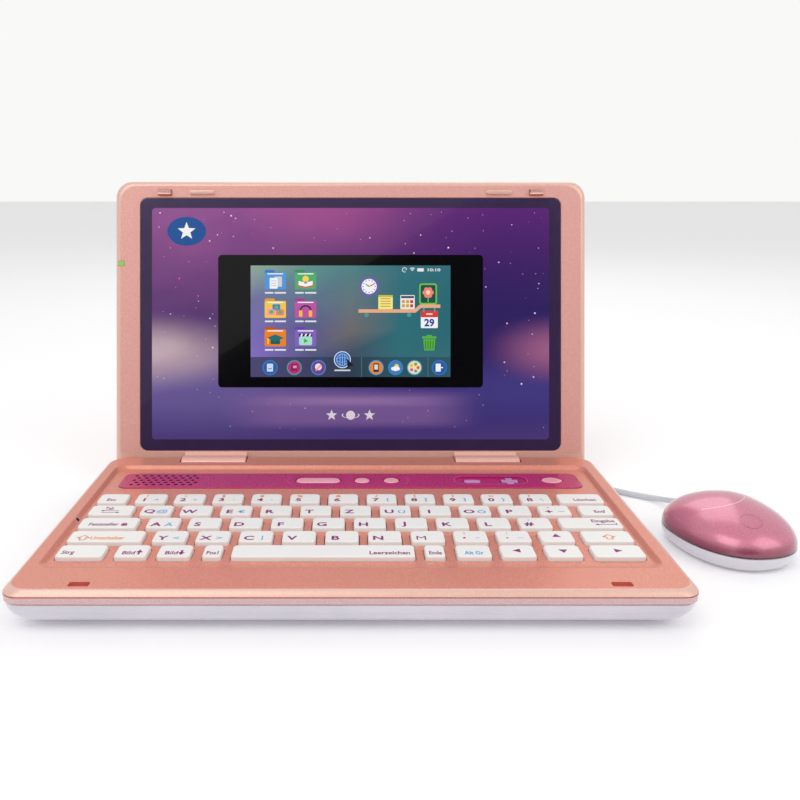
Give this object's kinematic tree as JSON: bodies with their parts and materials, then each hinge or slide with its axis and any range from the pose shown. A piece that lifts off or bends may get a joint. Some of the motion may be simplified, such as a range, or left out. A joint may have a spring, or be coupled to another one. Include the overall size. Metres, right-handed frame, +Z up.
{
  "type": "toy laptop computer",
  "caption": "Child's toy laptop with a hinged lid round a small screen, a full push-key keyboard, a speaker grille, push buttons and a corded mouse.",
  "frame": {"origin": "on the desk, under the middle of the laptop's base (mount desk_footprint)", "axes": "+Z up, front edge and keyboard towards -Y, +X to the user's right; lid open at its rest angle"},
  "size_m": [0.3338, 0.2257, 0.1646],
  "materials": {
    "white_shell": "gloss",
    "rose_plastic": "satin metallic lacquer on plastic",
    "magenta_plastic": "gloss",
    "steel": "plain",
    "cell_jacket": "printed sleeve",
    "foot_rubber": "matt",
    "board_green": "solder mask",
    "speaker_black": "matt",
    "membrane": "film",
    "dark_window": "gloss",
    "socket_black": "matt",
    "mouse_white": "gloss",
    "cord_grey": "matt",
    "clear_lens": "clear gloss",
    "artwork": "printed film",
    "lcd_black": "gloss",
    "light_green": "translucent",
    "mouse_rose": "metallic lacquer on plastic",
    "button_pink": "gloss",
    "button_lilac": "gloss",
    "key_white": "satin"
  },
  "bodies": {
    "base": {"base_bottom_shell": "white_shell", "deck_shell": "rose_plastic", "control_strip": "magenta_plastic", "hinge_pins": "steel", "battery_door": "white_shell", "battery_cells": "cell_jacket", "battery_contacts": "steel", "rubber_feet": "foot_rubber", "case_screws": "steel", "main_board": "board_green", "speaker": "speaker_black", "key_membrane": "membrane", "status_window": "dark_window", "mouse_socket": "socket_black", "mouse_bottom_shell": "mouse_white", "mouse_board": "board_green", "mouse_strain_relief": "cord_grey", "mouse_cord": "cord_grey", "mouse_cord_coil": "cord_grey", "mouse_cord_tail": "cord_grey", "mouse_plug": "cord_grey"},
    "lid": {"lid_bezel": "rose_plastic", "lid_back_shell": "rose_plastic", "hinge_knuckles": "rose_plastic", "display_lens": "clear_lens", "artwork_panel": "artwork", "lcd_module": "lcd_black", "lid_bumpers": "rose_plastic", "lid_screws": "steel", "lid_light": "light_green"},
    "button_wide": {"button_wide": "button_pink"},
    "button_round_left": {"button_round_left": "button_pink"},
    "button_round_right": {"button_round_right": "button_pink"},
    "button_volume_down": {"button_volume_down": "button_lilac"},
    "button_volume_up": {"button_volume_up": "button_lilac"},
    "button_pointer": {"button_pointer": "button_pink"},
    "key_escape": {"key_escape": "key_white"},
    "keys_digits": {"keys_digits": "key_white"},
    "key_delete_back": {"key_delete_back": "key_white"},
    "key_tab": {"key_tab": "key_white"},
    "keys_upper_letters": {"keys_upper_letters": "key_white"},
    "key_remove": {"key_remove": "key_white"},
    "key_caps_lock": {"key_caps_lock": "key_white"},
    "keys_middle_letters": {"keys_middle_letters": "key_white"},
    "key_enter": {"key_enter": "key_white"},
    "key_shift_left": {"key_shift_left": "key_white"},
    "keys_lower_letters": {"keys_lower_letters": "key_white"},
    "key_arrow_up": {"key_arrow_up": "key_white"},
    "key_shift_right": {"key_shift_right": "key_white"},
    "key_control": {"key_control": "key_white"},
    "key_page_up": {"key_page_up": "key_white"},
    "key_page_down": {"key_page_down": "key_white"},
    "key_home": {"key_home": "key_white"},
    "key_space": {"key_space": "key_white"},
    "key_end": {"key_end": "key_white"},
    "key_alt": {"key_alt": "key_white"},
    "key_arrow_left": {"key_arrow_left": "key_white"},
    "key_arrow_down": {"key_arrow_down": "key_white"},
    "key_arrow_right": {"key_arrow_right": "key_white"},
    "mouse_cover": {"mouse_cover": "mouse_rose"}
  },
  "joints": [
    {"name": "display_tilt", "type": "hinge", "parent": "base", "child": "lid", "pos_m": [0, 0.07516, 0.0141], "axis": [1, 0, 0], "range_deg": [-10, 104.35]},
    {"name": "button_wide_press", "type": "slide", "parent": "base", "child": "button_wide", "axis": [0, 0, -1], "range_m": [0, 0.0008], "stiffness_N_per_m": 1000, "springref_m": -0.0002},
    {"name": "button_round_left_press", "type": "slide", "parent": "base", "child": "button_round_left", "axis": [0, 0, -1], "range_m": [0, 0.0008], "stiffness_N_per_m": 1000, "springref_m": -0.0002},
    {"name": "button_round_right_press", "type": "slide", "parent": "base", "child": "button_round_right", "axis": [0, 0, -1], "range_m": [0, 0.0008], "stiffness_N_per_m": 1000, "springref_m": -0.0002},
    {"name": "button_volume_down_press", "type": "slide", "parent": "base", "child": "button_volume_down", "axis": [0, 0, -1], "range_m": [0, 0.0004], "stiffness_N_per_m": 2000, "springref_m": -0.0001},
    {"name": "button_volume_up_press", "type": "slide", "parent": "base", "child": "button_volume_up", "axis": [0, 0, -1], "range_m": [0, 0.0004], "stiffness_N_per_m": 2000, "springref_m": -0.0001},
    {"name": "button_pointer_press", "type": "slide", "parent": "base", "child": "button_pointer", "axis": [0, 0, -1], "range_m": [0, 0.0008], "stiffness_N_per_m": 1000, "springref_m": -0.0002},
    {"name": "key_escape_press", "type": "slide", "parent": "base", "child": "key_escape", "axis": [0, 0, -1], "range_m": [0, 0.0015], "stiffness_N_per_m": 533.3, "springref_m": -0.00038},
    {"name": "keys_digits_press", "type": "slide", "parent": "base", "child": "keys_digits", "axis": [0, 0, -1], "range_m": [0, 0.0015], "stiffness_N_per_m": 4000, "springref_m": -0.00038},
    {"name": "key_delete_back_press", "type": "slide", "parent": "base", "child": "key_delete_back", "axis": [0, 0, -1], "range_m": [0, 0.0015], "stiffness_N_per_m": 533.3, "springref_m": -0.00038},
    {"name": "key_tab_press", "type": "slide", "parent": "base", "child": "key_tab", "axis": [0, 0, -1], "range_m": [0, 0.0015], "stiffness_N_per_m": 533.3, "springref_m": -0.00038},
    {"name": "keys_upper_letters_press", "type": "slide", "parent": "base", "child": "keys_upper_letters", "axis": [0, 0, -1], "range_m": [0, 0.0015], "stiffness_N_per_m": 4000, "springref_m": -0.00038},
    {"name": "key_remove_press", "type": "slide", "parent": "base", "child": "key_remove", "axis": [0, 0, -1], "range_m": [0, 0.0015], "stiffness_N_per_m": 533.3, "springref_m": -0.00038},
    {"name": "key_caps_lock_press", "type": "slide", "parent": "base", "child": "key_caps_lock", "axis": [0, 0, -1], "range_m": [0, 0.0015], "stiffness_N_per_m": 533.3, "springref_m": -0.00038},
    {"name": "keys_middle_letters_press", "type": "slide", "parent": "base", "child": "keys_middle_letters", "axis": [0, 0, -1], "range_m": [0, 0.0015], "stiffness_N_per_m": 4000, "springref_m": -0.00038},
    {"name": "key_enter_press", "type": "slide", "parent": "base", "child": "key_enter", "axis": [0, 0, -1], "range_m": [0, 0.0015], "stiffness_N_per_m": 533.3, "springref_m": -0.00038},
    {"name": "key_shift_left_press", "type": "slide", "parent": "base", "child": "key_shift_left", "axis": [0, 0, -1], "range_m": [0, 0.0015], "stiffness_N_per_m": 533.3, "springref_m": -0.00038},
    {"name": "keys_lower_letters_press", "type": "slide", "parent": "base", "child": "keys_lower_letters", "axis": [0, 0, -1], "range_m": [0, 0.0015], "stiffness_N_per_m": 4000, "springref_m": -0.00038},
    {"name": "key_arrow_up_press", "type": "slide", "parent": "base", "child": "key_arrow_up", "axis": [0, 0, -1], "range_m": [0, 0.0015], "stiffness_N_per_m": 533.3, "springref_m": -0.00038},
    {"name": "key_shift_right_press", "type": "slide", "parent": "base", "child": "key_shift_right", "axis": [0, 0, -1], "range_m": [0, 0.0015], "stiffness_N_per_m": 533.3, "springref_m": -0.00038},
    {"name": "key_control_press", "type": "slide", "parent": "base", "child": "key_control", "axis": [0, 0, -1], "range_m": [0, 0.0015], "stiffness_N_per_m": 533.3, "springref_m": -0.00038},
    {"name": "key_page_up_press", "type": "slide", "parent": "base", "child": "key_page_up", "axis": [0, 0, -1], "range_m": [0, 0.0015], "stiffness_N_per_m": 533.3, "springref_m": -0.00038},
    {"name": "key_page_down_press", "type": "slide", "parent": "base", "child": "key_page_down", "axis": [0, 0, -1], "range_m": [0, 0.0015], "stiffness_N_per_m": 533.3, "springref_m": -0.00038},
    {"name": "key_home_press", "type": "slide", "parent": "base", "child": "key_home", "axis": [0, 0, -1], "range_m": [0, 0.0015], "stiffness_N_per_m": 533.3, "springref_m": -0.00038},
    {"name": "key_space_press", "type": "slide", "parent": "base", "child": "key_space", "axis": [0, 0, -1], "range_m": [0, 0.0015], "stiffness_N_per_m": 533.3, "springref_m": -0.00038},
    {"name": "key_end_press", "type": "slide", "parent": "base", "child": "key_end", "axis": [0, 0, -1], "range_m": [0, 0.0015], "stiffness_N_per_m": 533.3, "springref_m": -0.00038},
    {"name": "key_alt_press", "type": "slide", "parent": "base", "child": "key_alt", "axis": [0, 0, -1], "range_m": [0, 0.0015], "stiffness_N_per_m": 533.3, "springref_m": -0.00038},
    {"name": "key_arrow_left_press", "type": "slide", "parent": "base", "child": "key_arrow_left", "axis": [0, 0, -1], "range_m": [0, 0.0015], "stiffness_N_per_m": 533.3, "springref_m": -0.00038},
    {"name": "key_arrow_down_press", "type": "slide", "parent": "base", "child": "key_arrow_down", "axis": [0, 0, -1], "range_m": [0, 0.0015], "stiffness_N_per_m": 533.3, "springref_m": -0.00038},
    {"name": "key_arrow_right_press", "type": "slide", "parent": "base", "child": "key_arrow_right", "axis": [0, 0, -1], "range_m": [0, 0.0015], "stiffness_N_per_m": 533.3, "springref_m": -0.00038},
    {"name": "mouse_click", "type": "hinge", "parent": "base", "child": "mouse_cover", "pos_m": [0.18058, -0.0267, 0.0079], "axis": [-0.9799, -0.1994, 0], "range_deg": [0, 0.5], "stiffness_Nm_per_rad": 2, "springref_deg": -0.57}
  ]
}
